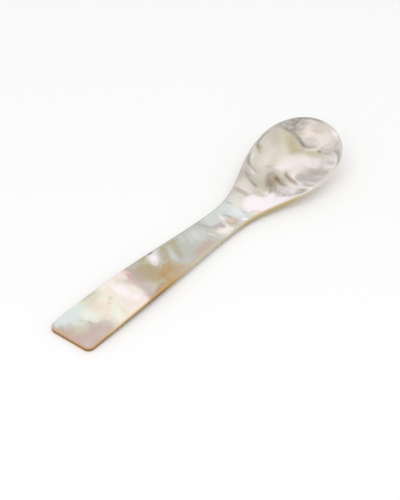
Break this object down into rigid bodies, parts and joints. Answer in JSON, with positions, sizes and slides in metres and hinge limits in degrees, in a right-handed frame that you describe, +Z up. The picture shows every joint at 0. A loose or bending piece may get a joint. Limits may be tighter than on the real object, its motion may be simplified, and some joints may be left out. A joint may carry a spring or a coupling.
{
  "type": "spoon",
  "caption": "Slim mother-of-pearl spoon with a round shallow dish, a narrow neck and a flat handle widening to a square end, golden shell along its sides and back.",
  "frame": {"origin": "on the table, under the middle of the spoon's length and width", "axes": "+X along the spoon from the end of the handle to the tip of the bowl, +Z up, out of the dish"},
  "size_m": [0.12, 0.029, 0.0125],
  "materials": {
    "white_nacre": "polished white nacre, soft pink, green and grey clouds",
    "golden_shell": "polished golden-brown outer shell, fine growth layers"
  },
  "bodies": {
    "root": {"white_nacre": "white_nacre", "golden_shell": "golden_shell"}
  },
  "joints": []
}
